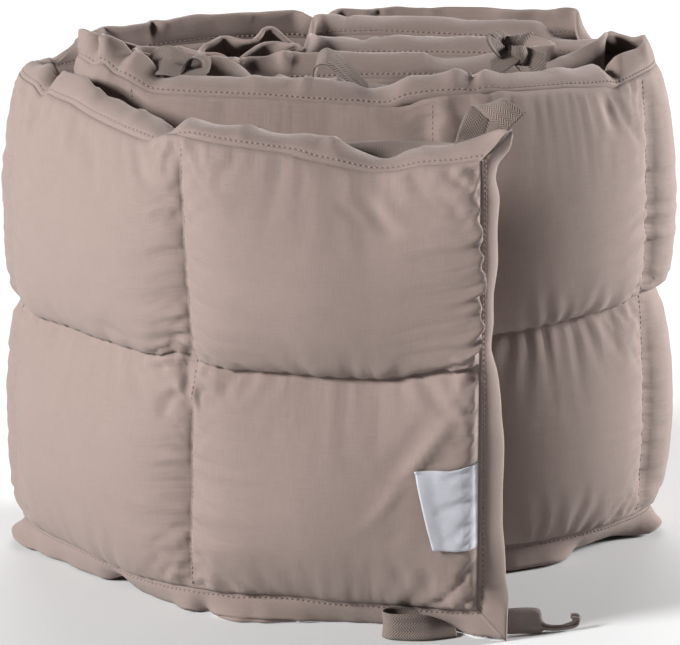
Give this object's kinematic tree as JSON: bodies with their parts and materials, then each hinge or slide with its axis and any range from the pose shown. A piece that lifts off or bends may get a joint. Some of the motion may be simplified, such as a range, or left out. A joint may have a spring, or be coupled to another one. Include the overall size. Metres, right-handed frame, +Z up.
{
  "type": "rolled crib bumper",
  "caption": "Quilted cotton crib bumper, rolled up and standing on its long edge, with bound edges, tape ties and a loose outer flap.",
  "frame": {"origin": "middle of the footprint, on the surface that it stands on", "axes": "+Z up; +X to the right seen from the front; -Y towards the loose flap, which stands off in front"},
  "size_m": [0.3965, 0.307, 0.3159],
  "materials": {
    "pad_cotton": "matt woven cotton",
    "binding_cotton": "matt woven cotton",
    "tape_twill": "herringbone twill tape",
    "label_white": "smooth white woven tab, bare"
  },
  "bodies": {
    "root": {"quilted_pad": "pad_cotton", "binding_top": "binding_cotton", "binding_bottom": "binding_cotton", "binding_outer_end": "binding_cotton", "binding_inner_end": "binding_cotton", "tie_top_outer_up": "tape_twill", "tie_top_outer_back": "tape_twill", "tie_bottom_outer_loop": "tape_twill", "tie_bottom_outer_tail": "tape_twill", "tie_left": "tape_twill", "tie_middle": "tape_twill", "tie_right_loop": "tape_twill", "tie_right_tail": "tape_twill", "label": "label_white"}
  },
  "joints": []
}
